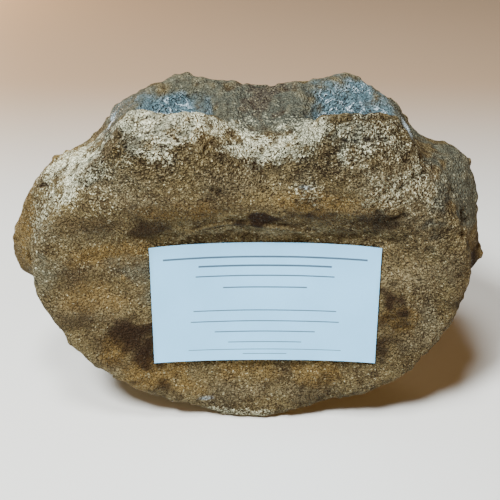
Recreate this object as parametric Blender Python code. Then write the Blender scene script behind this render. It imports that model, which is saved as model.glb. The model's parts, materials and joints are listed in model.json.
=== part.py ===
"""Fossil vertebra centrum of a large marine reptile, standing on its worn lower rims, with a blank paper label.

Metres, +Z up. -Y is the dished front face that carries the label, +X is to the right of somebody facing it.
The origin is at the middle of the bone's bounding box, on the surface that it stands on.
"""

import math

import bmesh
import bpy
import numpy as np
from mathutils import Vector, noise

# Driving dimensions of the bone
LENGTH = 0.058
CELL = 0.0041
AXIS = Vector((0.0, LENGTH / 2, 0.058))
TOP = 0.1140

# Outline of the front rim round the axis: angle from +X towards +Z in degrees, and radius
FRONT_RIM = (
    (-180, 0.0730), (-155, 0.0680), (-135, 0.0622), (-112, 0.0602), (-90, 0.0630), (-68, 0.0612),
    (-45, 0.0662), (-20, 0.0715), (0, 0.0745), (18, 0.0740), (35, 0.0710), (50, 0.0735),
    (70, 0.0765), (90, 0.0780), (110, 0.0755), (130, 0.0680), (145, 0.0665), (165, 0.0720),
)
BACK_RIM_SHARE = 0.965
WAIST = 0.0052
RIM_ROUNDING = 0.0085
ROLL_ROUNDING = 0.022
EDGE_ROUNDING = 0.005
CHIN_RETREAT = 0.0040
CHIN_HEIGHT = 0.030

# Dish of the front face: deepest above the middle, under a thick roll that overhangs it
DISH_DEPTH = 0.0105
DISH_CENTRE = (0.003, 0.064)
DISH_HALF_WIDTH = 0.070
DISH_BELOW = 0.059
DISH_SOFT = 0.22
ROLL_CREST = 0.0915
ROLL_LIFT = 0.008
ROLL_LIFT_X = (0.036, 0.064)
BACK_DISH_DEPTH = 0.0065
BACK_DISH_HALF = (0.060, 0.044)

# Floor of the neural canal, a trough that rises towards the back between the two arch facets
CANAL_X = 0.0050
CANAL_FLOOR = (0.1005, 0.1082)
CANAL_CURVE = (34.0, 7.0)
CANAL_Y = (0.012, 0.050)
BACK_SLOPE = 0.45
BACK_SLOPE_Y = (0.015, 0.045)
BACK_RIDGE_X = 0.0265

# Bowls where the neural arch was joined: centre in X and Y, half sizes, height of the floor
ARCH_FACETS = (
    ((-0.0240, 0.0330), (0.0175, 0.0160), 0.1020),
    ((0.0330, 0.0335), (0.0190, 0.0160), 0.1010),
)
FACET_POWER = 2.2
BOWL_EDGE = 0.006

# Lumps and hollows of the rib joints: centre, radii, tilt about Y, squareness
RIB_LUMPS = (
    ((-0.0650, 0.0310, 0.0680), (0.0135, 0.0170, 0.0235), 0.48, 2.5),
    ((0.0605, 0.0320, 0.0715), (0.0168, 0.0170, 0.0205), -0.10, 3.6),
    ((0.0725, 0.0300, 0.0555), (0.0070, 0.0080, 0.0050), 0.30, 2.0),
)
RIB_FACETS = (
    ((-0.0915, 0.0320, 0.0640), (0.0120, 0.0115, 0.0150), 0.40, 2.0),
    ((0.0885, 0.0330, 0.0740), (0.0125, 0.0120, 0.0160), -0.08, 2.0),
)
LUMP_BLEND = 0.009
FACET_EDGE = 0.0025

# Paper label, bent across and stuck in the dish
LABEL_WIDTH = 0.0755
LABEL_HEIGHT = 0.0430
LABEL_THICKNESS = 0.0004
LABEL_CENTRE = (0.0050, 0.0084, 0.0478)
LABEL_BEND = 0.0034
LABEL_LEAN = 0.100
LABEL_GAP = 0.0004
LABEL_MARGIN = 0.003
LABEL_FADE = 0.007
LABEL_COLUMNS = 14
LABEL_ROWS = 6

# Oval drum that the skin starts from, and the slab inside it that the skin is cast out from
DRUM_HALF = (0.080, 0.058)
CORE_SHARE = 0.72
CORE_Y = (0.016, 0.042)
CAST_REACH = 1.8
CAST_STEPS = 26
SETTLE_PASSES = 8
SETTLE_SHARE = 0.5
PROBE = 0.0002

SWELLS = ((0.024, 0.0010), (0.010, 0.00045))


def smooth_step(low, high, value):
    """0 below low, 1 above high, and an eased ramp between."""
    t = np.clip((value - low) / (high - low), 0, 1)
    return t * t * (3 - 2 * t)


def smooth_max(a, b, width):
    """The larger of two distances, rounded where they meet."""
    near = np.clip(width - np.abs(a - b), 0, None) / width
    return np.maximum(a, b) + near * near * width / 4


def smooth_min(a, b, width):
    return -smooth_max(-a, -b, width)


def rim_radius(angle):
    """Radius of the front rim at these angles, as a closed Catmull-Rom curve through FRONT_RIM."""
    stops = np.array([stop for stop, _ in FRONT_RIM], float)
    radii = np.array([radius for _, radius in FRONT_RIM])
    turned = np.mod(np.degrees(angle) + 180, 360) - 180
    index = np.searchsorted(stops, turned, side="right") - 1
    count = len(stops)
    ends = np.append(stops, stops[0] + 360)
    t = (turned - ends[index]) / (ends[index + 1] - ends[index])
    before = radii[(index - 1) % count]
    here = radii[index % count]
    after = radii[(index + 1) % count]
    beyond = radii[(index + 2) % count]
    slope = after - before
    curve = 2 * before - 5 * here + 4 * after - beyond
    twist = 3 * here - before - 3 * after + beyond
    return here + 0.5 * t * (slope + t * (curve + t * twist))


def lump(points, centre, radii, tilt, squareness):
    """Signed distance, roughly, to an ellipsoid tilted about Y, with flatter sides as squareness grows."""
    local = points - np.array(centre)
    cos_tilt = math.cos(tilt)
    sin_tilt = math.sin(tilt)
    x = local[:, 0] * cos_tilt - local[:, 2] * sin_tilt
    z = local[:, 0] * sin_tilt + local[:, 2] * cos_tilt
    scaled = np.abs(np.stack([x, local[:, 1], z], axis=1) / np.array(radii))
    return ((scaled**squareness).sum(axis=1) ** (1 / squareness) - 1) * min(radii)


def label_depth(x, z):
    """Y of the label's back at these places: bent across and leaning back."""
    across = (x - LABEL_CENTRE[0]) / (LABEL_WIDTH / 2)
    lean = LABEL_LEAN * (z - LABEL_CENTRE[2])
    return LABEL_CENTRE[1] - LABEL_BEND * across * across + lean


def label_share(x, z):
    """1 under the label and a little past its edges, fading to 0."""
    beyond_x = np.abs(x - LABEL_CENTRE[0]) - LABEL_WIDTH / 2 - LABEL_MARGIN
    beyond_z = np.abs(z - LABEL_CENTRE[2]) - LABEL_HEIGHT / 2 - LABEL_MARGIN
    return 1 - smooth_step(0, LABEL_FADE, np.maximum(beyond_x, beyond_z))


def front_depth(x, z):
    """Y of the front face: a dish with its centre high, worn back at the foot, evened out under the label."""
    across = (x - DISH_CENTRE[0]) / DISH_HALF_WIDTH
    down = np.clip(DISH_CENTRE[1] - z, 0, None) / DISH_BELOW
    inside = 1 - across**2 - down**2
    dish = DISH_DEPTH * (inside + np.sqrt(inside**2 + DISH_SOFT**2)) / 2
    crest = ROLL_CREST + ROLL_LIFT * smooth_step(*ROLL_LIFT_X, x)
    dish *= 1 - smooth_step(DISH_CENTRE[1], crest, z)
    chin = CHIN_RETREAT * np.clip(1 - z / CHIN_HEIGHT, 0, None) ** 2
    share = label_share(x, z)
    return (dish + chin) * (1 - share) + (label_depth(x, z) + LABEL_GAP) * share


def back_depth(x, z):
    """Y of the back face, a shallower dish."""
    across = x / BACK_DISH_HALF[0]
    up = (z - AXIS.z) / BACK_DISH_HALF[1]
    inside = 1 - across**2 - up**2
    return LENGTH - BACK_DISH_DEPTH * (inside + np.sqrt(inside**2 + DISH_SOFT**2)) / 2


def canal_height(x, y):
    """Height of the neural canal's trough, deep and narrow in front and shallow and wide behind."""
    share = smooth_step(*CANAL_Y, y)
    floor = CANAL_FLOOR[0] * (1 - share) + CANAL_FLOOR[1] * share
    curve = CANAL_CURVE[0] * (1 - share) + CANAL_CURVE[1] * share
    return floor + curve * (x - CANAL_X) ** 2


def facet_height(x, y, centre, half, floor):
    """Height of a bowl that reaches the top of the bone at its oval edge."""
    out = np.hypot((x - centre[0]) / half[0], (y - centre[1]) / half[1])
    return floor + (TOP - floor) * out**FACET_POWER


def bone(points):
    """Signed distance, roughly, to the bone's surface: below 0 inside."""
    x, y, z = points.T
    around_x = x - AXIS.x
    around_z = z - AXIS.z
    radius = np.hypot(around_x, around_z)
    angle = np.arctan2(around_z, around_x)
    upward = np.sin(angle)
    along = np.clip(y / LENGTH, 0, 1)
    pinch = WAIST * (1 - 0.5 * smooth_step(0.2, 0.8, upward)) * np.sin(np.pi * along)
    narrowing = (1 - BACK_RIM_SHARE) * along * smooth_step(-0.95, -0.6, upward)
    outline = rim_radius(angle) * (1 - narrowing) - pinch
    flank = radius - outline
    for shape in RIB_LUMPS:
        flank = smooth_min(flank, lump(points, *shape), LUMP_BLEND)
    for shape in RIB_FACETS:
        flank = smooth_max(flank, -lump(points, *shape), FACET_EDGE)
    beyond_ridge = np.clip(np.abs(x - CANAL_X) - BACK_RIDGE_X, 0, None)
    falling = BACK_SLOPE * beyond_ridge * smooth_step(*BACK_SLOPE_Y, y)
    dorsal = z - TOP + falling
    dorsal = smooth_max(dorsal, z - canal_height(x, y), EDGE_ROUNDING)
    for bowl in ARCH_FACETS:
        dorsal = smooth_max(dorsal, z - facet_height(x, y, *bowl), BOWL_EDGE)
    roll = RIM_ROUNDING + (ROLL_ROUNDING - RIM_ROUNDING) * smooth_step(0.2, 0.7, upward)
    body = smooth_max(flank, dorsal, EDGE_ROUNDING)
    body = smooth_max(body, front_depth(x, z) - y, roll)
    return smooth_max(body, y - back_depth(x, z), RIM_ROUNDING)


def add_drum(bm):
    """An oval drum of even cells: a divided cube whose square front and back are eased into ovals."""
    size = (2 * DRUM_HALF[0], LENGTH, 2 * DRUM_HALF[1])
    bmesh.ops.create_cube(bm, size=2.0)
    for axis in range(3):
        along = [edge for edge in bm.edges if is_along(edge, axis)]
        cuts = round(size[axis] / CELL) - 1
        bmesh.ops.subdivide_edges(bm, edges=along, cuts=cuts, use_grid_fill=True)
    for vert in bm.verts:
        x, y, z = vert.co
        vert.co.x = AXIS.x + DRUM_HALF[0] * x * math.sqrt(1 - z * z / 2)
        vert.co.y = AXIS.y + y * LENGTH / 2
        vert.co.z = AXIS.z + DRUM_HALF[1] * z * math.sqrt(1 - x * x / 2)


def is_along(edge, axis):
    run = edge.verts[1].co - edge.verts[0].co
    return abs(run[axis]) > 0.99 * run.length


def cast_skin(points):
    """Moves each point of the drum along its own ray from the core slab on to the bone's surface."""
    offset = (points[:, [0, 2]] - np.array((AXIS.x, AXIS.z))) / np.array(DRUM_HALF)
    reach = np.maximum(np.hypot(offset[:, 0], offset[:, 1]) / CORE_SHARE, 1)
    core = points.copy()
    core[:, 0] = AXIS.x + DRUM_HALF[0] * offset[:, 0] / reach
    core[:, 1] = np.clip(points[:, 1], *CORE_Y)
    core[:, 2] = AXIS.z + DRUM_HALF[1] * offset[:, 1] / reach
    ray = points - core
    near = np.zeros(len(points))
    far = np.full(len(points), CAST_REACH)
    for _ in range(CAST_STEPS):
        middle = (near + far) / 2
        inside = bone(core + ray * middle[:, None]) < 0
        near = np.where(inside, middle, near)
        far = np.where(inside, far, middle)
    return core + ray * near[:, None]


def pull_to_surface(points):
    """Moves points along the steepest way on to the bone's surface."""
    level = bone(points)
    slope = np.empty_like(points)
    for axis in range(3):
        beside = points.copy()
        beside[:, axis] += PROBE
        slope[:, axis] = (bone(beside) - level) / PROBE
    steepness = np.clip((slope * slope).sum(axis=1), 0.1, None)
    move = level / steepness
    return points - slope * np.clip(move, -CELL, CELL)[:, None]


def settle(bm, points):
    """Evens out the skin's points among their neighbours, keeping them on the surface."""
    ends = np.array([[vert.index for vert in edge.verts] for edge in bm.edges])
    count = np.bincount(ends.ravel(), minlength=len(points))
    for _ in range(SETTLE_PASSES):
        total = np.zeros_like(points)
        np.add.at(total, ends[:, 0], points[ends[:, 1]])
        np.add.at(total, ends[:, 1], points[ends[:, 0]])
        even = total / count[:, None]
        points = points + SETTLE_SHARE * (even - points)
        points = pull_to_surface(pull_to_surface(points))
    return points


def swell(point):
    """Low unevenness of the worn bone at a point, the sum of two sizes of noise."""
    return sum(height * noise.noise(Vector(point) / size) for size, height in SWELLS)


def make_bone():
    bm = bmesh.new()
    add_drum(bm)
    bm.verts.index_update()
    skin = settle(bm, cast_skin(np.array([vert.co for vert in bm.verts])))
    for vert, place in zip(bm.verts, skin):
        vert.co = place
    bm.normal_update()
    shares = label_share(skin[:, 0], skin[:, 2]) * (skin[:, 1] < LENGTH / 2)
    for vert, share in zip(bm.verts, shares):
        vert.co += vert.normal * swell(vert.co) * (1 - share)
        vert.co.z = max(vert.co.z, 0.0)
    return bm


def make_label():
    """A thin bent sheet, built flat as a box of cells and then laid on the label's surface."""
    bm = bmesh.new()
    bmesh.ops.create_grid(bm, x_segments=LABEL_COLUMNS, y_segments=LABEL_ROWS, size=0.5)
    sheet = bmesh.ops.extrude_face_region(bm, geom=bm.faces[:])
    front = [item for item in sheet["geom"] if isinstance(item, bmesh.types.BMVert)]
    for vert in front:
        vert.co.z = 1.0
    for vert in bm.verts:
        x = LABEL_CENTRE[0] + vert.co.x * LABEL_WIDTH
        z = LABEL_CENTRE[2] + vert.co.y * LABEL_HEIGHT
        y = label_depth(x, z) - vert.co.z * LABEL_THICKNESS
        vert.co = Vector((x, y, z))
    bmesh.ops.recalc_face_normals(bm, faces=bm.faces)
    return bm


def add_material(obj, colour, roughness):
    material = bpy.data.materials.new(obj.name)
    material.use_nodes = True
    shader = material.node_tree.nodes["Principled BSDF"]
    shader.inputs["Base Color"].default_value = (*colour, 1.0)
    shader.inputs["Roughness"].default_value = roughness
    shader.inputs["Metallic"].default_value = 0.0
    obj.data.materials.append(material)


def add_object(name, bm, shift, colour, roughness):
    bmesh.ops.translate(bm, vec=shift, verts=bm.verts)
    mesh = bpy.data.meshes.new(name)
    bm.to_mesh(mesh)
    bm.free()
    obj = bpy.data.objects.new(name, mesh)
    bpy.context.scene.collection.objects.link(obj)
    add_material(obj, colour, roughness)
    return obj


def main():
    for obj in list(bpy.data.objects):
        bpy.data.objects.remove(obj)
    skin = make_bone()
    label = make_label()
    places = np.array([vert.co for vert in skin.verts])
    middle = (places.min(axis=0) + places.max(axis=0)) / 2
    shift = Vector((-middle[0], -middle[1], 0.0))
    centrum = add_object("centrum", skin, shift, (0.17, 0.12, 0.06), 0.75)
    centrum.data.shade_smooth()
    centrum.data.set_sharp_from_angle(angle=math.radians(50))
    add_object("paper_label", label, shift, (0.62, 0.70, 0.80), 0.6)


main()
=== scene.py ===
"""Fossil vertebra of a large marine reptile, with a paper label stuck in the dish of its front face.

Metres, +Z up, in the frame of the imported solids: -Y is the front face, +X is right of somebody facing it.
The bone's skin is a fine mesh grown from its solid and carved with pores, chips, cracks and crinkles.
"""

import json
import math

import bpy
import numpy as np
from bpy.props import FloatProperty, FloatVectorProperty, IntProperty, PointerProperty
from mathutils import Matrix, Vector, noise

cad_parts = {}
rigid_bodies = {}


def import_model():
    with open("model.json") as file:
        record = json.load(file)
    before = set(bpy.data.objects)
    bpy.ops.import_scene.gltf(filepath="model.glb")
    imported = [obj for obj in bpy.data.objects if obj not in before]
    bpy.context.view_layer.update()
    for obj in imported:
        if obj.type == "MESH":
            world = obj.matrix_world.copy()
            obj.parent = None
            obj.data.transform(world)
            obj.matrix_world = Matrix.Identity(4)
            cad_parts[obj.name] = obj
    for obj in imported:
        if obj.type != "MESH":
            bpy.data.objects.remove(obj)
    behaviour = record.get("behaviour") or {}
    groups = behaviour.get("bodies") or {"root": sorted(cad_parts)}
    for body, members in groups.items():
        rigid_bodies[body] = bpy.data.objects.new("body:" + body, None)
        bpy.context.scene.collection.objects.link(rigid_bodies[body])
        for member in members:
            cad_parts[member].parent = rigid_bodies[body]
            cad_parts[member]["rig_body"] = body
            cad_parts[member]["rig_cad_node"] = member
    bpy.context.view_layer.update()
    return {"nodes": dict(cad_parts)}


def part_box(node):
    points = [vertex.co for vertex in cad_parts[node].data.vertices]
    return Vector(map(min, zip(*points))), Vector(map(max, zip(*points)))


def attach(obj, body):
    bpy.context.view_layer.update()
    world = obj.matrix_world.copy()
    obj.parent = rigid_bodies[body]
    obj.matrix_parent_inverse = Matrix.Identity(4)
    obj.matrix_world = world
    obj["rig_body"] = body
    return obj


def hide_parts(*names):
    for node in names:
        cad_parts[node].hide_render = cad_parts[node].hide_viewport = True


bl_info = {
    "name": "Fossil Vertebra",
    "version": (1, 0, 0),
    "blender": (4, 5, 0),
    "location": "3D View > Sidebar > Fossil",
    "description": "Dresses the solids of a fossil vertebra with a carved bone skin and a blank paper label",
    "category": "Add Mesh",
}

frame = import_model()
LABEL_LOW, LABEL_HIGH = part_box("paper_label")
MM = 0.001

# The label is bent across and leans back, as its solid does
LABEL_BEND = 0.0034
LABEL_LEAN = 0.100
LABEL_SOLID_THICKNESS = 0.0004
# How far the middle of its lower edge stands off the dish, as a share of the bend
LABEL_LOOSENESS = 0.45

# Places on the bone in millimetres, used by the carving, by the stains, by the painted shade and by the
# painted glints: centre, radii, strength
COARSE_PATCHES = (
    ((38, -24, 105), (34, 16, 13), 1.0),
    ((58, -28, 82), (14, 9, 24), 0.8),
    ((-4, -24, 100), (26, 14, 8), 0.8),
    ((-38, -22, 105), (26, 14, 12), 0.9),
    ((30, -27, 8), (40, 9, 8), 0.5),
    ((60, -27, 40), (12, 9, 26), 0.3),
)
# Dark stains, and painted shade under the overhang of the roll, on the shadow side of the right rim and at
# the edges of the left lump
DARK_STAIN_AND_SHADE_PATCHES = (
    ((-36.5, -25, 32), (9.5, 9, 10), 1.05),
    ((-29, -26, 16), (4.5, 8, 3.5), 0.8),
    ((-50, -26, 32.5), (6, 8, 5), 0.6),
    ((-56, -26, 43), (9, 8, 6), 0.6),
    ((-56, -26, 59), (8, 8, 4), 0.45),
    ((5, -25, 81.5), (13, 9, 4), 1.2),
    ((25, -26, 83), (6, 9, 3), 0.6),
    ((41, -25, 81), (11, 9, 4), 0.75),
    ((70, -20, 46), (5, 14, 20), 0.6),
    ((62, -24, 86), (4, 9, 5), 0.5),
    ((-29, -23, 77), (9, 9, 4.5), 0.75),
    ((-54, -26, 80), (13, 9, 3.5), 0.6),
    ((48.5, -24, 51), (5.5, 9, 5), 1.15),
    ((46, -25, 37), (6, 9, 8), 0.8),
    ((56, -26, 33), (7, 9, 5), 0.4),
    # painted shade on the shadow side of the right rim
    ((76, -12, 57), (5, 12, 12), 0.9),
    ((26, -25, 11), (13, 9, 6), 0.45),
    ((8, -24, 17), (6, 9, 5), 0.35),
    ((-37, -23, 107), (3.5, 5, 3), 0.7),
    ((24, 28, 38), (18, 10, 14), 0.7),
    ((-36, 28, 66), (16, 10, 9), 0.6),
    # painted shade under the overhang of the roll
    ((-4, -27, 85), (40, 14, 6), 0.42),
    # painted shade at the edges of the left lump, this patch and the next
    ((-78, -8, 58), (8, 16, 10), 0.45),
    ((-72, -8, 72), (6, 14, 12), 0.40),
    ((-44, -27, 27), (12, 9, 6), 0.65),
)
OCHRE_PATCHES = (
    ((-34, -26, 22), (15, 9, 8), 1.0),
    ((-45, -26, 29), (8, 9, 6), 0.9),
    ((-22, -25, 17), (9, 9, 7), 0.7),
    ((-39, -24, 68), (13, 9, 5), 0.75),
    ((-50, -25, 52), (12, 9, 7), 0.6),
    ((3, -23, 21), (13, 9, 6), 0.6),
    ((23, -24, 20), (11, 9, 6), 0.7),
    ((-18, -24, 84), (13, 9, 5), 0.7),
    ((20, -26, 88), (26, 9, 5), 0.65),
    ((51, -25, 43), (6, 9, 6), 0.85),
    ((50, -25, 66), (11, 9, 10), 0.45),
    ((-75, -6, 66), (7, 16, 16), 0.9),
    ((-62, 6, 90), (6, 9, 4), 0.9),
    ((74, 3, 89), (5, 9, 4), 0.7),
    ((-15, -20, 108), (5, 5, 3), 0.5),
    ((-42, -21, 106), (7, 6, 5), 0.6),
    ((30, -20, 110), (8, 6, 3), 0.4),
    ((6, 28, 80), (30, 10, 12), 0.6),
    ((-20, 28, 26), (20, 10, 12), 0.6),
)
GREEN_PATCHES = (
    ((-36, -23, 61), (10, 9, 7), 0.50),
    ((-50, -25, 75), (9, 9, 4), 0.30),
    ((-66, -26, 62), (5, 9, 12), 0.50),
    ((-64, -25, 77), (5, 9, 6), 0.35),
    ((-33, -23, 52), (5, 9, 5), 0.45),
    ((-18, -24, 20), (4, 9, 4), 0.5),
    ((33, -22, 109), (9, 7, 4), 0.8),
    ((6, -6, 104.5), (17, 9, 5), 0.95),
    ((18, 7, 107.5), (8, 12, 5), 1.5),
    ((-8, 3, 107.5), (6, 11, 4), 1.3),
    ((69, -8, 88), (13, 16, 14), 1.6),
    ((-42, 8, 103), (12, 18, 12), 1.5),
    ((-22, 16, 110), (20, 16, 7), 1.2),
    ((34, 2, 106), (20, 14, 9), 1.4),
    ((50, 12, 104), (14, 16, 10), 1.5),
    ((36, 20, 108), (18, 10, 6), 0.8),
    ((62, -26, 46), (6, 9, 8), 0.35),
)
PALE_PATCHES = (
    ((-56, -7, 91), (13, 16, 9), 0.88),
    ((-65, -14, 84), (6, 13, 10), 0.65),
    ((-68, -18, 73), (4, 8, 12), 0.45),
    ((-11, -13, 106), (8, 9, 6), 0.95),
    ((6, -13, 102.5), (18, 10, 5), 1.2),
    ((21, -15, 107), (8, 9, 6), 1.05),
    ((-29, -18, 112), (22, 12, 8), 1.1),
    ((-53, -20, 97), (11, 10, 9), 0.50),
    ((-48, -25, 90), (12, 9, 7), 0.30),
    ((40, -20, 108), (22, 10, 7), 0.62),
    ((58, -20, 100), (9, 10, 9), 0.45),
    ((17, -28, 92), (9, 6, 3.5), 0.40),
    ((51, -26, 92), (16, 10, 8), 0.60),
    ((-5, -25, 3), (16, 6, 3), 0.55),
)
SAND_PATCHES = (
    ((50, -24, 92), (20, 10, 11), 1.3),
    ((-40, -25, 92), (26, 10, 7), 0.6),
    ((0, -27, 94), (34, 8, 6), 0.5),
    ((52, -25, 62), (16, 9, 15), 0.7),
    ((60, -26, 42), (10, 9, 14), 0.6),
    ((-52, -25, 50), (13, 9, 9), 0.5),
    ((-46, -26, 24), (9, 9, 6), 0.6),
    ((2, -24, 12), (44, 9, 6), 0.5),
    ((0, -23, 74), (26, 9, 3), 0.6),
)
BOWLS = (
    ((-24, 3, 105), (14, 11, 12), 1.0),
    ((33, 3, 105), (15, 11, 12), 1.0),
)
BLUE_PATCHES = (
    ((-25.5, 6, 103.5), (11, 13, 8), 1.3),
    ((35.5, 8, 103.5), (13, 17, 9), 1.3),
    ((-42, 8, 101), (8, 12, 6), 0.45),
)
# Where painted highlights fall on the crinkles of the hollows
SHEEN_PATCHES = (
    ((-24, 5, 104), (10, 11, 7), 0.8),
    ((35, 8, 103.5), (13, 14, 8), 1.2),
)
# Glossy spots painted with white-blue highlights, and two pale scratches on the front
GLINT_AND_SCRATCH_PATCHES = (
    ((53.5, 8, 99.5), (3.5, 7, 2.2), 1.2),
    ((-46, 11, 99.5), (2.6, 5, 1.8), 1.0),
    ((18, -28, 93), (2.0, 3, 0.7), 0.7),
    ((-15, -25.3, 9.8), (2.2, 3, 0.5), 0.6),
)
BROWN_GREY_PATCHES = (
    ((5, 12, 107), (23, 18, 8), 1.0),
    ((-70, 0, 52), (10, 20, 12), 0.6),
)
# Cracks as runs of points in millimetres, with depth
CRACKS = (
    (((27, -22, 108.5), (30, -24, 107.4), (33, -24.5, 107.8), (36, -23.5, 108.6), (39, -23, 109)), 0.35),
    (((-73, -3, 86), (-69, -6, 84), (-65, -8, 84.5)), 1.1),
    (((-12, -19, 107), (-9, -20, 106), (-7, -19, 104)), 0.3),
    (((60, -25, 94), (57, -27, 88), (52, -27, 84), (46, -26, 82)), 0.5),
    (((-58, -20, 88), (-60, -14, 90), (-57, -6, 93)), 0.6),
    # A groove along the scar's lip, darkened like the cracks as a painted shadow line
    (((-20, -21, 76), (-13, -22.5, 79.4), (-6, -23.5, 80.9), (3, -22.5, 79.9), (12, -22.5, 78.6)), 0.60),
    (((-30, 28.5, 96), (-24, 27, 84), (-27, 26, 72), (-20, 25, 60)), 0.7),
    (((66, 4, 56), (64, -6, 50), (66, -14, 44)), 0.6),
)
# Thin lip of a flat scar that arches over the label
SCAR_ARC = (
    (-24, -19, 70),
    (-19, -21, 75),
    (-13, -22, 78),
    (-6, -23, 79.5),
    (3, -22, 78.5),
    (12, -22, 77),
    (21, -21, 74),
)
# Crumbs of matrix that stand on the bone: centre and radius in millimetres
CRUMBS = (
    ((-65, 5, 89.5), 2.2),
    ((-61, 7, 90.5), 1.6),
    ((-69, 3, 87.5), 1.4),
    ((-41, -22.6, 58.5), 1.3),
    ((74.5, 3, 88.5), 1.8),
    ((78.5, -6, 58), 1.9),
    ((-1, -20, 76.6), 1.3),
)
# Vessel holes under the waist and the pit of the notochord behind: centre, radius, depth in millimetres
HOLES = (
    ((-9, 1, 4.5), 2.4, 3.0),
    ((11, -1, 5), 2.0, 2.6),
    ((2, 22.8, 60), 2.6, 1.6),
)
# Ruled writing lines on the label: distance from the top edge, length, thickness in millimetres
RULED_LINES = (
    (4.9, 67, 0.60),
    (8.0, 44, 0.60),
    (11.6, 46, 0.42),
    (15.8, 28, 0.42),
    (24.2, 48, 0.36),
    (28.2, 50, 0.36),
    (32.1, 34, 0.36),
    (36.1, 25, 0.30),
    (38.9, 52, 0.24),
    (40.6, 15, 0.24),
)

# The skin is smoothed and evened before it is carved
MERGE_DISTANCE = 0.00002
EVENING_PASSES = 6
# Zone under the roll that is softened into the dish, in metres: it comes in over the foot and fades
# out over the top and the sides
ROLL_FOOT = (0.072, 0.077)
ROLL_TOP = (0.090, 0.098)
ROLL_SIDES = (0.054, 0.066)
ROLL_FRONT = -0.005
ROLL_PASSES = 160
# Rims lie further than this from the middle, front to back
RIM_FROM_MIDDLE = 0.014
# Distance past the label's edge at which the bone's relief starts and is full
LABEL_MARGIN = (0.0005, 0.003)
LABEL_BED_DEPTH = 0.00012

# Relief of the skin in metres: the spacing, edges and height of each kind of mark
WIDE_WANDER_SPACING = 0.009
FINE_WANDER_SPACING = 0.0035
LUMP_SPACING = 0.0065
LUMP_HEIGHT = 0.0006
KNOB_SPACING = 0.0024
FIBRE_SPACING = 0.0022
FIBRE_STRETCH = (1, 5, 1)
FIBRE_HEIGHT = 0.0005
PORE_SPACING = 0.0034
PORED_AREA_SPACING = 0.012
CHIP_SPACING = 0.0055
LEDGE_SPACING = 0.011
LEDGE_HEIGHT = 0.0011
CRINKLE_SPACING = 0.0050
FINE_CRINKLE_SPACING = 0.0024
CRINKLE_HEIGHT = 0.0012
CRINKLED_SWELL = 0.0004
CRACK_EDGE = (0.0003, 0.0012)
CRACK_WANDER = 0.0005
SCAR_EDGE = (0.0004, 0.0016)
SCAR_WANDER = 0.0004
SCAR_HEIGHT = 0.0008
# How steeply the ledges break, and how far a crumb rises as a share of its radius
LEDGE_WAVES = 13
LEDGE_STEP = 0.16
CRUMB_RISE = 0.55
# Dents that take painted shade and crests that are made lighter: where each starts and is full, in metres
FINE_DENT = (0.00001, 0.00012)
WIDE_DENT = (0.0003, 0.0016)
FINE_CREST = (0.00002, 0.00014)
WIDE_CREST = (0.0002, 0.0011)
SCAR_CREST = (0.0003, 0.0012)
FINE_DENT_PASSES = 2
WIDE_DENT_PASSES = 22

# Patterns of the bone's colours, in marks per metre
BLOTCHES = 75.0
MOTTLES = 280.0
FOLDS = 330.0
GAPS = 760.0
SWIRLS = 900.0
GRAINS = 1150.0
FINE_GRAINS = 2100.0
# How far the swirls shift a mark and how high the grain stands, in metres, and how little it glints
SWIRL_REACH = 0.0012
GRAIN_RELIEF = 0.0036
BONE_GLINT = 0.09

# The paper: fibres and clouds per metre, its cockle in metres, and its grubby sides in millimetres
FIBRES = 2600.0
CLOUDS = 60.0
FIBRE_RELIEF = 0.0001
COCKLE_SPACING = 0.016
COCKLE_HEIGHT = 0.00010
CORNER_SHARPNESS = 8
GRUBBY_SIDE = 1.6
GRUBBY_TINT = (0.80, 0.74, 0.66)
SHADED_PAPER = 0.90
INK_STRENGTH = 0.88

# The stage in metres, with the lights as name, place, width, setting of the power, colour
TABLE_LENGTH = 3.0
WALL_HEIGHT = 0.5
WALL_CURVE = 0.05
WALL_CURVE_STEPS = 14
EDGE_TOLERANCE = 0.01
TABLE_FADE = (0.10, 0.34)
TABLE_FADE_WANDER = 0.02
TABLE_CLOUDS = 3.0
LIGHTS = (
    ("key light", (-0.22, -0.34, 0.64), 0.14, "key_power", (0.97, 0.98, 1.0)),
    ("high light", (-0.07, -0.20, 0.74), 0.14, "high_power", (0.97, 0.98, 1.0)),
    ("fill light", (0.58, -0.36, 0.20), 0.36, "fill_power", (1.0, 0.48, 0.13)),
    ("back light", (-0.40, 0.60, 0.10), 0.16, "back_power", (1.0, 0.70, 0.42)),
)
LIT_PLACE = (0, 0, 0.05)
ROOM_COLOUR = (1.0, 0.65, 0.35)
ROOM_STRENGTH = 0.02
# The camera aims a little left of the label's middle and a little in front of it
AIM_LEFT = 0.0050
AIM_FORWARD = 0.00245
SENSOR_WIDTH = 36
CLIP_START = 0.01


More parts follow.
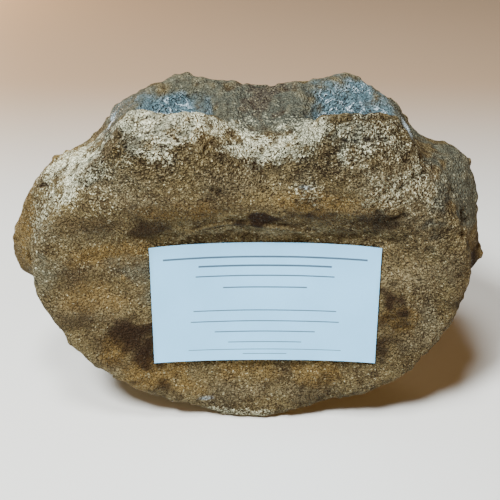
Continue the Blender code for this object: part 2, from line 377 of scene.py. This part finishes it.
class BoneSettings(bpy.types.PropertyGroup):
    skin_cell: FloatProperty(
        name="Skin Cell", description="Cell of the bone's fine skin", default=0.00082, unit="LENGTH"
    )
    grain_height: FloatProperty(
        name="Grain", description="Height of the coarse grain", default=0.00042, unit="LENGTH"
    )
    pore_depth: FloatProperty(
        name="Pores", description="Depth of the open pores", default=0.00045, unit="LENGTH"
    )
    chip_depth: FloatProperty(
        name="Chips", description="Depth of the chips along the rims", default=0.0012, unit="LENGTH"
    )
    bowl_depth: FloatProperty(
        name="Bowls", description="Extra depth of the arch hollows", default=0.0030, unit="LENGTH"
    )
    tan: FloatVectorProperty(
        name="Tan", description="Worn bone of the rims",
        default=(0.138, 0.108, 0.047), size=3, subtype="COLOR",
    )
    brown: FloatVectorProperty(
        name="Brown", description="Bone of the roll",
        default=(0.064, 0.047, 0.021), size=3, subtype="COLOR",
    )
    ochre: FloatVectorProperty(
        name="Ochre", description="Iron stains",
        default=(0.168, 0.111, 0.034), size=3, subtype="COLOR",
    )
    sand: FloatVectorProperty(
        name="Sand", description="Bone rubbed clean",
        default=(0.200, 0.168, 0.092), size=3, subtype="COLOR",
    )
    # Also painted as shade in the dents and holes, under the roll, on the right rim and at the left lump
    dark: FloatVectorProperty(
        name="Dark Brown", description="Dark stains",
        default=(0.0150, 0.0064, 0.0026), size=3, subtype="COLOR",
    )
    green: FloatVectorProperty(
        name="Grey Green", description="Grey green patches",
        default=(0.072, 0.081, 0.061), size=3, subtype="COLOR",
    )
    pale: FloatVectorProperty(
        name="Pale", description="Scraped and weathered bone",
        default=(0.960, 0.980, 0.680), size=3, subtype="COLOR",
    )
    crystal: FloatVectorProperty(
        name="Crystal", description="Light grains all over the bone",
        default=(0.300, 0.245, 0.125), size=3, subtype="COLOR",
    )
    blue: FloatVectorProperty(
        name="Blue Grey", description="Glossy bone of the arch hollows",
        default=(0.100, 0.175, 0.205), size=3, subtype="COLOR",
    )
    umber: FloatVectorProperty(
        name="Umber", description="Floor of the canal",
        default=(0.060, 0.058, 0.047), size=3, subtype="COLOR",
    )
    # Painted highlights on the crinkles of the arch hollows and on glossy spots, and the colour of two pale
    # scratches
    glint_and_scratch_white: FloatVectorProperty(
        name="Glint White", description="Crinkles that catch the light",
        default=(0.700, 0.900, 1.000), size=3, subtype="COLOR",
    )


class LabelSettings(bpy.types.PropertyGroup):
    thickness: FloatProperty(
        name="Thickness", description="Thickness of the paper", default=0.0003, unit="LENGTH"
    )
    curl: FloatProperty(
        name="Curl", description="Lift of the loose corners", default=0.0006, unit="LENGTH"
    )
    columns: IntProperty(name="Columns", description="Cells across the paper", default=120)
    rows: IntProperty(name="Rows", description="Cells up the paper", default=68)
    paper: FloatVectorProperty(
        name="Paper", description="Bluish white paper",
        default=(0.25, 0.64, 1.0), size=3, subtype="COLOR",
    )
    ink: FloatVectorProperty(
        name="Ink", description="Ruled lines",
        default=(0.012, 0.014, 0.028), size=3, subtype="COLOR",
    )


class StageSettings(bpy.types.PropertyGroup):
    lens: FloatProperty(name="Lens", description="Focal length in millimetres", default=68.9)
    pitch: FloatProperty(
        name="Pitch", description="How far the camera looks down", default=math.radians(30), subtype="ANGLE"
    )
    distance: FloatProperty(
        name="Distance", description="Camera to the aim point", default=0.3026, unit="LENGTH"
    )
    aim_height: FloatProperty(
        name="Aim Height", description="Height of the aim point", default=0.0724, unit="LENGTH"
    )
    wall_distance: FloatProperty(
        name="Wall", description="Distance of the wall behind", default=1.10, unit="LENGTH"
    )
    key_power: FloatProperty(
        name="Key Light", description="Power of the key light in watts", default=12.5
    )
    high_power: FloatProperty(
        name="High Light", description="Power of the light above the front in watts", default=5.0
    )
    fill_power: FloatProperty(
        name="Fill Light", description="Power of the warm fill light in watts", default=1.5
    )
    back_power: FloatProperty(
        name="Back Light", description="Power of the low light behind in watts", default=2.8
    )
    table: FloatVectorProperty(
        name="Table", description="Pale table top",
        default=(0.74, 0.76, 0.72), size=3, subtype="COLOR",
    )
    wall: FloatVectorProperty(
        name="Wall Colour", description="Warm wall",
        default=(0.48, 0.35, 0.227), size=3, subtype="COLOR",
    )


class Wire:
    """An output of a material's node that can stand in a Python expression."""

    def __init__(self, desk, socket):
        self.desk = desk
        self.socket = socket

    def __add__(self, other):
        return self.desk.maths("ADD", self, other)

    def __sub__(self, other):
        return self.desk.maths("SUBTRACT", self, other)

    def __rsub__(self, other):
        return self.desk.maths("SUBTRACT", other, self)

    def __mul__(self, other):
        return self.desk.maths("MULTIPLY", self, other)

    __radd__ = __add__


class Desk:
    """A new material and the means to wire its nodes."""

    def __init__(self, name):
        self.material = bpy.data.materials.new(name)
        self.material.use_nodes = True
        self.tree = self.material.node_tree
        self.shader = self.tree.nodes["Principled BSDF"]

    def feed(self, socket, value):
        if isinstance(value, Wire):
            self.tree.links.new(value.socket, socket)
        elif socket.type == "RGBA":
            socket.default_value = (*value, 1.0)
        else:
            socket.default_value = value

    def node(self, kind, settings=None, inputs=None, output=0):
        node = self.tree.nodes.new(kind)
        for key, value in (settings or {}).items():
            setattr(node, key, value)
        for key, value in (inputs or {}).items():
            self.feed(node.inputs[key], value)
        return Wire(self, node.outputs[output])

    def maths(self, operation, *values):
        return self.node("ShaderNodeMath", {"operation": operation}, dict(enumerate(values)))

    def ramp(self, low, high, value):
        """0 at low, 1 at high, eased between."""
        settings = {"interpolation_type": "SMOOTHSTEP"}
        return self.node("ShaderNodeMapRange", settings, {"Value": value, "From Min": low, "From Max": high})

    def mix(self, factor, first, second):
        return self.node("ShaderNodeMix", {"data_type": "RGBA"}, {0: factor, 6: first, 7: second}, 2)

    def grain(self, place, per_metre, detail, roughness, distortion=0.0):
        inputs = {"Vector": place, "Scale": per_metre, "Detail": detail, "Roughness": roughness}
        inputs["Distortion"] = distortion
        return self.node("ShaderNodeTexNoise", None, inputs)

    def gaps(self, place, per_metre):
        """Distance to the nearest gap between irregular cells, in cell widths."""
        inputs = {"Vector": place, "Scale": per_metre}
        return self.node("ShaderNodeTexVoronoi", {"feature": "DISTANCE_TO_EDGE"}, inputs, "Distance")

    def swirled(self, place, per_metre, reach):
        """The place shifted about by noise, by a share of this reach in metres."""
        inputs = {"Vector": place, "Scale": per_metre, "Detail": 1.0}
        swirl = self.node("ShaderNodeTexNoise", None, inputs, "Color")
        settings = {"operation": "MULTIPLY_ADD"}
        return self.node("ShaderNodeVectorMath", settings, {0: swirl, 1: (reach, reach, reach), 2: place})

    def layer(self, name):
        return self.node("ShaderNodeAttribute", {"attribute_name": name}, None, "Fac")

    def finish(self, **sockets):
        for name, value in sockets.items():
            self.feed(self.shader.inputs[name.replace("_", " ")], value)
        return self.material


def only(obj):
    """Selects this object alone and makes it active."""
    bpy.ops.object.select_all(action="DESELECT")
    obj.select_set(True)
    bpy.context.view_layer.objects.active = obj


def apply_modifier(obj, name, kind, **settings):
    modifier = obj.modifiers.new(name, kind)
    for key, value in settings.items():
        setattr(modifier, key, value)
    only(obj)
    bpy.ops.object.modifier_apply(modifier=modifier.name)


def read_points(mesh):
    flat = np.empty(len(mesh.vertices) * 3)
    mesh.vertices.foreach_get("co", flat)
    return flat.reshape(-1, 3)


def read_normals(mesh):
    flat = np.empty(len(mesh.vertices) * 3)
    mesh.vertices.foreach_get("normal", flat)
    return flat.reshape(-1, 3)


def write_points(mesh, points):
    mesh.vertices.foreach_set("co", points.ravel())
    mesh.update()


def write_layer(mesh, name, values):
    layer = mesh.attributes.new(name, "FLOAT", "POINT")
    layer.data.foreach_set("value", values.astype(np.float32))


def ease(low, high, value):
    """0 below low, 1 above high, and an eased ramp between."""
    t = np.clip((value - low) / (high - low), 0, 1)
    return t * t * (3 - 2 * t)


def field(points, size, seed, stretch=(1, 1, 1)):
    """Smooth noise of about -1 to 1 at the points, with lumps of this size in metres."""
    places = points / size / np.array(stretch) + np.array((seed * 13.7, seed * 7.3, seed * 3.1))
    return np.array([noise.noise(place) for place in places.tolist()])


def nearest_seed(points, size, seed):
    """Distance from each point to the nearest of scattered seeds, in seed spacings."""
    places = points / size + np.array((seed * 5.9, seed * 11.3, seed * 2.7))
    return np.array([noise.voronoi(place)[0][0] for place in places.tolist()])


def patches(points, places, warp):
    """Strongest of the soft oval patches at each point, with edges that wander by warp."""
    total = np.zeros(len(points))
    for centre, radii, strength in places:
        offset = (points - np.array(centre) * MM) / (np.array(radii) * MM)
        distance = np.sqrt((offset * offset).sum(axis=1)) + warp
        total = np.maximum(total, strength * (1 - ease(0.25, 1.55, distance)))
    return total


def relaxed(mesh, points, passes):
    """The points after each has moved this many times to the middle of its neighbours."""
    ends = np.empty(len(mesh.edges) * 2, np.int64)
    mesh.edges.foreach_get("vertices", ends)
    ends = ends.reshape(-1, 2)
    first = np.concatenate([ends[:, 0], ends[:, 1]])
    second = np.concatenate([ends[:, 1], ends[:, 0]])
    count = np.bincount(first, minlength=len(points))
    for _ in range(passes):
        sums = [np.bincount(first, points[second, axis], len(points)) for axis in range(3)]
        points = np.stack(sums, axis=1) / count[:, None]
    return points


def distance_to_run(points, run):
    """Distance from each point to the nearest place on a run of straight lines."""
    best = np.full(len(points), np.inf)
    corners = np.array(run) * MM
    for start, end in zip(corners, corners[1:]):
        along = end - start
        share = np.clip(((points - start) @ along) / (along @ along), 0, 1)
        gap = points - start - share[:, None] * along
        best = np.minimum(best, np.sqrt((gap * gap).sum(axis=1)))
    return best


def under_label(points):
    """1 where the label covers the bone and a little past it, fading to 0, on the front only."""
    middle = (LABEL_LOW + LABEL_HIGH) / 2
    half = (LABEL_HIGH - LABEL_LOW) / 2
    beyond_x = np.abs(points[:, 0] - middle.x) - half.x
    beyond_z = np.abs(points[:, 2] - middle.z) - half.z
    share = 1 - ease(*LABEL_MARGIN, np.maximum(beyond_x, beyond_z))
    return share * (points[:, 1] < 0)


class FOSSIL_OT_bone(bpy.types.Operator):
    """Grow the bone's fine skin from its solid, carve it, stain it and paint shade and glints on it"""

    bl_idname = "fossil.bone"
    bl_label = "Bone"

    def execute(self, context):
        settings = context.scene.fossil_bone
        bone = self.grow_skin(settings)
        self.carve(bone.data, settings)
        bpy.ops.object.shade_smooth()
        bone.data.materials.clear()
        bone.data.materials.append(bone_material(settings))
        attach(bone, "root")
        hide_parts("centrum")
        return {"FINISHED"}

    def grow_skin(self, settings):
        """A merged copy of the solid, evened into small cells and smoothed of its facets."""
        only(frame["nodes"]["centrum"])
        bpy.ops.object.duplicate()
        bone = bpy.context.object
        bone.name = "bone"
        bpy.ops.object.parent_clear(type="CLEAR_KEEP_TRANSFORM")
        bpy.ops.object.mode_set(mode="EDIT")
        bpy.ops.mesh.select_all(action="SELECT")
        bpy.ops.mesh.remove_doubles(threshold=MERGE_DISTANCE)
        bpy.ops.object.mode_set(mode="OBJECT")
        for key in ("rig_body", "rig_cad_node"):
            if key in bone:
                del bone[key]
        apply_modifier(bone, "Rounded", "SUBSURF", levels=1, render_levels=1)
        apply_modifier(bone, "Skin", "REMESH", mode="VOXEL", voxel_size=settings.skin_cell)
        apply_modifier(bone, "Even", "SMOOTH", factor=0.5, iterations=EVENING_PASSES)
        return bone

    def soften_roll(self, mesh):
        """Lets the underside of the roll pass into the dish above the label without a crease."""
        points = read_points(mesh)
        x, y, z = points.T
        share = ease(*ROLL_FOOT, z) * (1 - ease(*ROLL_TOP, z)) * (1 - ease(*ROLL_SIDES, np.abs(x)))
        share = share * (y < ROLL_FRONT)
        soft = relaxed(mesh, points, ROLL_PASSES)
        write_points(mesh, points + (soft - points) * share[:, None])

    def carve(self, mesh, settings):
        """Moves the skin in and out along its normals, and keeps the stains, the painted shade and the
        painted glints as layers of the mesh.
        """
        self.soften_roll(mesh)
        points = read_points(mesh)
        normals = read_normals(mesh)
        covered = under_label(points)
        wander = 0.9 * field(points, WIDE_WANDER_SPACING, 1) + 0.6 * field(points, FINE_WANDER_SPACING, 2)
        coarse = patches(points, COARSE_PATCHES, wander)
        bowls = patches(points, BOWLS, 0.25 * wander)
        blue = patches(points, BLUE_PATCHES, 0.5 * wander)
        umber = patches(points, BROWN_GREY_PATCHES, wander)
        depth_along = points[:, 1]
        facing_back = normals[:, 1]
        front_rim = ease(-0.9, -0.6, facing_back) * (1 - ease(-0.25, 0.1, facing_back))
        front_rim = front_rim * (depth_along < -RIM_FROM_MIDDLE)
        back_rim = ease(-0.1, 0.3, facing_back) * (1 - ease(0.6, 0.9, facing_back))
        back_rim = back_rim * (depth_along > RIM_FROM_MIDDLE)
        rims = np.maximum(front_rim, back_rim)
        flank = 1 - ease(0.35, 0.75, np.abs(facing_back))

        lumps = field(points, LUMP_SPACING, 3)
        knobs = field(points, KNOB_SPACING, 4)
        fibres = field(points, FIBRE_SPACING, 5, FIBRE_STRETCH)
        pores = 1 - ease(0.10, 0.42, nearest_seed(points, PORE_SPACING, 6))
        pores *= ease(-0.1, 0.3, field(points, PORED_AREA_SPACING, 7))
        chips = ease(0.05, 0.35, field(points, CHIP_SPACING, 8)) * rims
        crinkle = np.abs(field(points, CRINKLE_SPACING, 9))
        crinkle = crinkle + 0.5 * np.abs(field(points, FINE_CRINKLE_SPACING, 10))

        broken = field(points, LEDGE_SPACING, 11)
        ledges = broken + LEDGE_STEP * np.sin(LEDGE_WAVES * broken)
        ledge_share = 0.35 + 0.65 * np.maximum(flank, coarse)
        height = LUMP_HEIGHT * lumps + LEDGE_HEIGHT * ledges * ledge_share * (1 - 0.6 * umber)
        height += settings.grain_height * knobs * (0.45 + 1.7 * coarse) * (1 - 0.3 * flank)
        height += FIBRE_HEIGHT * fibres * flank * (1 - blue)
        height -= settings.pore_depth * pores * (0.5 + 0.8 * coarse)
        height -= settings.chip_depth * chips
        height += blue * (CRINKLED_SWELL - CRINKLE_HEIGHT * crinkle)
        height -= settings.bowl_depth * bowls

        crack = np.zeros(len(points))
        for run, depth in CRACKS:
            line = 1 - ease(*CRACK_EDGE, distance_to_run(points, run) + CRACK_WANDER * knobs)
            crack = np.maximum(crack, line * min(depth, 1))
            height -= depth * MM * line
        scar = distance_to_run(points, SCAR_ARC) + SCAR_WANDER * knobs
        height += SCAR_HEIGHT * (1 - ease(*SCAR_EDGE, scar))
        crumb = np.zeros(len(points))
        for centre, radius in CRUMBS:
            gap = np.linalg.norm(points - np.array(centre) * MM, axis=1) / (radius * MM) + 0.35 * knobs
            bump = 1 - ease(0.5, 1.1, gap)
            crumb = np.maximum(crumb, bump)
            height += CRUMB_RISE * radius * MM * bump
        hole = np.zeros(len(points))
        for centre, radius, depth in HOLES:
            gap = np.linalg.norm(points - np.array(centre) * MM, axis=1) / (radius * MM)
            pit = 1 - ease(0.35, 1.1, gap)
            hole = np.maximum(hole, pit)
            height -= depth * MM * pit

        height *= 1 - covered
        height -= LABEL_BED_DEPTH * covered
        carved = points + normals * height[:, None]
        carved[:, 2] = np.maximum(carved[:, 2], 0)
        write_points(mesh, carved)

        # Painted shade: the dents and holes are darkened; the crests are made lighter
        fine_dent = ((relaxed(mesh, carved, FINE_DENT_PASSES) - carved) * normals).sum(axis=1)
        wide_dent = ((relaxed(mesh, carved, WIDE_DENT_PASSES) - carved) * normals).sum(axis=1)
        hollow = ease(*FINE_DENT, fine_dent) * 0.7 + ease(*WIDE_DENT, wide_dent) * 0.25
        crest = ease(*FINE_CREST, -fine_dent) * 0.5 + ease(*WIDE_CREST, -wide_dent) * 0.7
        crest += 0.6 * (1 - ease(*SCAR_CREST, scar))
        layers = {
            "crest": np.clip(crest, 0, 1) * (1 - covered),
            "coarse": coarse,
            "blue": blue,
            "umber": umber,
            "hollow": np.clip(np.maximum(hollow, hole) * (1 - covered), 0, 1),
            "crack": np.clip(crack, 0, 1),
            "crumb": crumb,
            "worn": rims * (1 - chips),
            "sheen": patches(points, SHEEN_PATCHES, 0.5 * wander),
            "glaze": patches(points, GLINT_AND_SCRATCH_PATCHES, 0.5 * wander),
            # dark stains, with painted shade under the roll, on the right rim and at the left lump
            "dark": patches(points, DARK_STAIN_AND_SHADE_PATCHES, wander),
            "ochre": patches(points, OCHRE_PATCHES, wander),
            "sand": patches(points, SAND_PATCHES, wander),
            "green": patches(points, GREEN_PATCHES, wander),
            "pale": patches(points, PALE_PATCHES, wander),
        }
        for name, values in layers.items():
            write_layer(mesh, name, values)


def bone_material(settings):
    """Mineralised bone: brown and tan with stains, pale grains, dark pores and a thin old varnish, painted
    shade in its dents, holes and under the roll, and painted highlights on glossy spots and crinkles.
    """
    desk = Desk("fossil bone")
    place = desk.node("ShaderNodeTexCoord", output="Object")
    blotch = desk.grain(place, BLOTCHES, 4.0, 0.6)
    mottle = desk.grain(place, MOTTLES, 4.0, 0.65)
    grain = desk.grain(place, GRAINS, 2.0, 0.6, 0.6)
    fine = desk.grain(place, FINE_GRAINS, 2.0, 0.6)
    gaps = desk.gaps(desk.swirled(place, SWIRLS, SWIRL_REACH), GAPS)
    folds = desk.maths("ABSOLUTE", desk.grain(place, FOLDS, 3.0, 0.6, 0.6) - 0.5)
    sparkle = grain * 0.6 + fine * 0.4

    def stain(name, colour, under, most=0.85, low=0.10, high=0.80, grainy=0.9):
        """Lays a stain over the colours under it, its edges broken up by the mottling and the grain."""
        amount = desk.layer(name) + (mottle - 0.5) * 0.6 + (sparkle - 0.5) * grainy
        return desk.mix(desk.ramp(low, high, amount) * most, under, colour)

    coarse = desk.layer("coarse")
    gloss = desk.layer("blue")
    worn = desk.layer("worn") * desk.ramp(0.45, 0.70, mottle)
    colour = desk.mix(desk.ramp(0.38, 0.60, blotch * 0.6 + mottle * 0.4), settings.brown, settings.tan)
    colour = stain("umber", settings.umber, colour)
    colour = stain("sand", settings.sand, colour)
    colour = stain("ochre", settings.ochre, colour)
    colour = stain("green", settings.green, colour)
    colour = desk.mix(worn * 0.25 + desk.layer("crest") * 0.20, colour, settings.crystal)
    calm = 1 - desk.ramp(0.1, 0.9, desk.layer("green")) * 0.55
    pale_grains = desk.ramp(0.53, 0.61, sparkle) * (0.40 + coarse * 0.60) * calm
    colour = desk.mix(pale_grains, colour, settings.crystal)
    cream = desk.mix(desk.ramp(0.31, 0.50, mottle), settings.crystal, settings.pale)
    colour = stain("pale", cream, colour, most=1.0, low=0.30, high=1.30, grainy=4.0)
    colour = stain("blue", settings.blue, colour, most=0.92, high=0.95)
    # Dark stains, with painted shade under the roll, on the right rim and at the left lump
    colour = stain("dark", settings.dark, colour, most=0.92, low=0.12, high=1.06, grainy=1.5)
    dark_grains = desk.ramp(0.49, 0.40, fine * 0.6 + grain * 0.4) * (0.78 + gloss * 0.12) * calm
    colour = desk.mix(dark_grains, colour, settings.dark)
    colour = desk.mix(desk.ramp(0.08, 0.0, gaps) * (0.10 + coarse * 0.3), colour, settings.dark)
    # Painted shade in the dents and holes
    colour = desk.mix(desk.layer("hollow") * (0.65 - gloss * 0.35), colour, settings.dark)
    # Dark cracks, and a painted shadow line along the groove over the scar
    colour = desk.mix(desk.layer("crack") * 0.85, colour, settings.dark)
    colour = desk.mix(desk.layer("crumb") * 0.6, colour, settings.ochre)

    # Painted white-blue highlights on the glossy spots and on the crinkles of the hollows, and two pale
    # scratches
    glaze = desk.layer("glaze") * desk.ramp(0.40, 0.55, sparkle)
    painted_glints = desk.ramp(0.040, 0.010, folds) * desk.ramp(0.43, 0.55, mottle)
    painted_glints = painted_glints * gloss * (0.2 + desk.layer("sheen"))
    colour = desk.mix(desk.maths("MAXIMUM", painted_glints * 0.75, glaze * 0.85), colour, settings.glint_and_scratch_white)
    roughness = 0.85 - gloss * 0.50 - glaze * 0.4 - desk.ramp(0.56, 0.62, sparkle) * 0.30
    relief = grain * 0.35 + fine * 0.20 + desk.ramp(0.0, 0.30, gaps) * 0.45
    relief = relief * (0.42 + coarse * 1.80) - gloss * desk.ramp(0.0, 0.10, folds) * 0.35
    bump = desk.node("ShaderNodeBump", None, {"Strength": 1.0, "Distance": GRAIN_RELIEF, "Height": relief})
    desk.finish(Base_Color=colour, Roughness=desk.maths("MAXIMUM", roughness, 0.2), Normal=bump)
    return desk.finish(Specular_IOR_Level=BONE_GLINT)


class FOSSIL_OT_label(bpy.types.Operator):
    """Cut the paper label, lay it in the dish and rule its lines"""

    bl_idname = "fossil.label"
    bl_label = "Paper Label"

    def execute(self, context):
        settings = context.scene.fossil_label
        width = LABEL_HIGH.x - LABEL_LOW.x
        height = LABEL_HIGH.z - LABEL_LOW.z
        bpy.ops.object.select_all(action="DESELECT")
        cells = {"x_subdivisions": settings.columns, "y_subdivisions": settings.rows}
        bpy.ops.mesh.primitive_grid_add(**cells, size=1)
        label = context.object
        label.name = "label"
        self.lay(label.data, settings, width, height)
        apply_modifier(label, "Paper", "SOLIDIFY", thickness=settings.thickness, offset=0)
        bpy.ops.object.shade_smooth_by_angle(angle=math.radians(40))
        label.data.materials.append(label_material(settings, width, height))
        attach(label, "root")
        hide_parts("paper_label")
        return {"FINISHED"}

    def lay(self, mesh, settings, width, height):
        """Bends the flat sheet as the solid is bent, with a little cockle and lifted corners."""
        points = read_points(mesh)
        across = points[:, 0] * 2
        up = points[:, 1] * 2
        middle = (LABEL_LOW + LABEL_HIGH) / 2
        x = middle.x + points[:, 0] * width
        z = middle.z + points[:, 1] * height
        front = LABEL_LOW.y + LABEL_BEND + LABEL_LEAN * height / 2 + LABEL_SOLID_THICKNESS / 2
        loose = LABEL_LOOSENESS * (0.5 - points[:, 1]) * (1 - across**2)
        y = front - LABEL_BEND * (across**2 + loose) + LABEL_LEAN * (z - middle.z)
        corner = np.abs(across) ** CORNER_SHARPNESS * np.abs(up) ** CORNER_SHARPNESS
        lift = settings.curl * (0.4 * corner + 0.8 * corner * (up > 0))
        laid = np.stack([x, y, z], axis=1)
        laid[:, 1] += COCKLE_HEIGHT * field(laid, COCKLE_SPACING, 21) - lift
        write_points(mesh, laid)


def label_material(settings, width, height):
    """Smooth bluish paper with thin ruled lines and a faint grubby edge."""
    desk = Desk("label paper")
    place = desk.node("ShaderNodeUVMap", {"uv_map": "UVMap"})
    parts = desk.tree.nodes.new("ShaderNodeSeparateXYZ")
    desk.feed(parts.inputs[0], place)
    across = Wire(desk, parts.outputs["X"]) - 0.5
    down = (1 - Wire(desk, parts.outputs["Y"])) * (height / MM)
    sideways = desk.maths("ABSOLUTE", across * (width / MM))
    ruled = None
    for distance, length, thickness in RULED_LINES:
        from_line = desk.maths("ABSOLUTE", down - distance)
        on_line = 1 - desk.ramp(thickness * 0.35, thickness * 0.75, from_line)
        in_length = 1 - desk.ramp(length / 2 - 0.1, length / 2 + 0.1, sideways)
        line = on_line * in_length
        ruled = line if ruled is None else desk.maths("MAXIMUM", ruled, line)
    object_place = desk.node("ShaderNodeTexCoord", output="Object")
    fibre = desk.grain(object_place, FIBRES, 3.0, 0.6)
    cloud = desk.grain(object_place, CLOUDS, 2.0, 0.5)
    half_width = width / MM / 2
    side = desk.ramp(half_width - GRUBBY_SIDE, half_width, sideways) * desk.ramp(0.4, 0.6, cloud)
    shade = [channel * SHADED_PAPER for channel in settings.paper]
    grubby = [channel * tint for channel, tint in zip(settings.paper, GRUBBY_TINT)]
    colour = desk.mix(desk.ramp(0.3, 0.7, fibre * 0.4 + cloud * 0.6), shade, settings.paper)
    colour = desk.mix(side * 0.5, colour, grubby)
    colour = desk.mix(ruled * INK_STRENGTH, colour, settings.ink)
    bump = desk.node("ShaderNodeBump", None, {"Strength": 0.15, "Distance": FIBRE_RELIEF, "Height": fibre})
    return desk.finish(Base_Color=colour, Roughness=0.55 + (fibre - 0.5) * 0.2, Normal=bump)


class FOSSIL_OT_stage(bpy.types.Operator):
    """Set up the pale table, the wall behind it, the lights and the camera"""

    bl_idname = "fossil.stage"
    bl_label = "Stage"

    def execute(self, context):
        settings = context.scene.fossil_stage
        self.add_sweep(context, settings)
        for name, place, width, power, colour in LIGHTS:
            self.add_light(name, place, width, getattr(settings, power), colour)
        self.add_camera(context, settings)
        self.add_room(context)
        return {"FINISHED"}

    def add_sweep(self, context, settings):
        """A table top that turns up into the wall behind in one soft curve."""
        far_edge = settings.wall_distance - EDGE_TOLERANCE
        bpy.ops.object.select_all(action="DESELECT")
        middle = (0, settings.wall_distance - TABLE_LENGTH / 2, 0)
        bpy.ops.mesh.primitive_plane_add(size=TABLE_LENGTH, location=middle)
        sweep = context.object
        sweep.name = "table and wall"
        bpy.ops.object.mode_set(mode="EDIT")
        bpy.ops.mesh.select_mode(type="EDGE")
        bpy.ops.mesh.select_all(action="DESELECT")
        bpy.ops.object.mode_set(mode="OBJECT")
        bpy.ops.object.transform_apply(location=True, rotation=False, scale=False)
        self.pick_edges(sweep.data, lambda end: end.y > far_edge)
        bpy.ops.object.mode_set(mode="EDIT")
        bpy.ops.mesh.extrude_region_move(TRANSFORM_OT_translate={"value": (0, 0, WALL_HEIGHT)})
        bpy.ops.object.mode_set(mode="OBJECT")
        self.pick_edges(sweep.data, lambda end: end.y > far_edge and end.z < EDGE_TOLERANCE)
        bpy.ops.object.mode_set(mode="EDIT")
        bpy.ops.mesh.bevel(offset=WALL_CURVE, offset_type="OFFSET", segments=WALL_CURVE_STEPS)
        bpy.ops.object.mode_set(mode="OBJECT")
        bpy.ops.object.shade_smooth()
        sweep.data.materials.append(stage_material(settings))

    def pick_edges(self, mesh, wanted):
        """Selects the edges whose ends are both wanted."""
        for edge in mesh.edges:
            edge.select = all(wanted(mesh.vertices[end].co) for end in edge.vertices)

    def add_light(self, name, place, width, power, colour):
        bpy.ops.object.light_add(type="AREA", location=place)
        light = bpy.context.object
        light.name = name
        light.data.size = width
        light.data.energy = power
        light.data.color = colour
        aim = Vector(LIT_PLACE) - Vector(place)
        light.rotation_euler = aim.to_track_quat("-Z", "Y").to_euler()

    def add_room(self, context):
        """A faint warm glow from all around."""
        world = bpy.data.worlds.new("soft room")
        context.scene.world = world
        world.use_nodes = True
        background = world.node_tree.nodes["Background"]
        background.inputs["Color"].default_value = (*ROOM_COLOUR, 1.0)
        background.inputs["Strength"].default_value = ROOM_STRENGTH

    def add_camera(self, context, settings):
        """The photograph's view: level across, looking down on the front face."""
        middle = (LABEL_LOW + LABEL_HIGH) / 2
        aim = Vector((middle.x - AIM_LEFT, LABEL_LOW.y - AIM_FORWARD, settings.aim_height))
        view = Vector((0, math.cos(settings.pitch), -math.sin(settings.pitch)))
        bpy.ops.object.camera_add(location=aim - view * settings.distance)
        camera = context.object
        camera.rotation_euler = view.to_track_quat("-Z", "Y").to_euler()
        camera.data.lens = settings.lens
        camera.data.sensor_width = SENSOR_WIDTH
        camera.data.clip_start = CLIP_START
        context.scene.camera = camera


def stage_material(settings):
    """Pale table top that passes into a warm wall, softly and well behind the bone."""
    desk = Desk("table and wall")
    place = desk.node("ShaderNodeTexCoord", output="Object")
    parts = desk.tree.nodes.new("ShaderNodeSeparateXYZ")
    desk.feed(parts.inputs[0], place)
    behind = Wire(desk, parts.outputs["Y"])
    cloud = desk.grain(place, TABLE_CLOUDS, 2.0, 0.5)
    fade = desk.ramp(*TABLE_FADE, behind + (cloud - 0.5) * TABLE_FADE_WANDER)
    colour = desk.mix(fade, settings.table, settings.wall)
    return desk.finish(Base_Color=colour, Roughness=0.55)


class FOSSIL_PT_panel(bpy.types.Panel):
    bl_label = "Fossil Vertebra"
    bl_idname = "FOSSIL_PT_panel"
    bl_space_type = "VIEW_3D"
    bl_region_type = "UI"
    bl_category = "Fossil"

    def draw(self, context):
        layout = self.layout
        for operator, group in STEPS:
            box = layout.box()
            box.operator(operator)
            settings = getattr(context.scene, group)
            for name in settings.__annotations__:
                box.prop(settings, name)


STEPS = (("fossil.bone", "fossil_bone"), ("fossil.label", "fossil_label"), ("fossil.stage", "fossil_stage"))
GROUPS = {"fossil_bone": BoneSettings, "fossil_label": LabelSettings, "fossil_stage": StageSettings}
CLASSES = (*GROUPS.values(), FOSSIL_OT_bone, FOSSIL_OT_label, FOSSIL_OT_stage, FOSSIL_PT_panel)


def register():
    for item in CLASSES:
        bpy.utils.register_class(item)
    for name, group in GROUPS.items():
        setattr(bpy.types.Scene, name, PointerProperty(type=group))


def unregister():
    for name in GROUPS:
        delattr(bpy.types.Scene, name)
    for item in reversed(CLASSES):
        bpy.utils.unregister_class(item)


def main():
    register()
    bpy.ops.fossil.bone()
    bpy.ops.fossil.label()
    bpy.ops.fossil.stage()


if __name__ == "__main__":
    main()
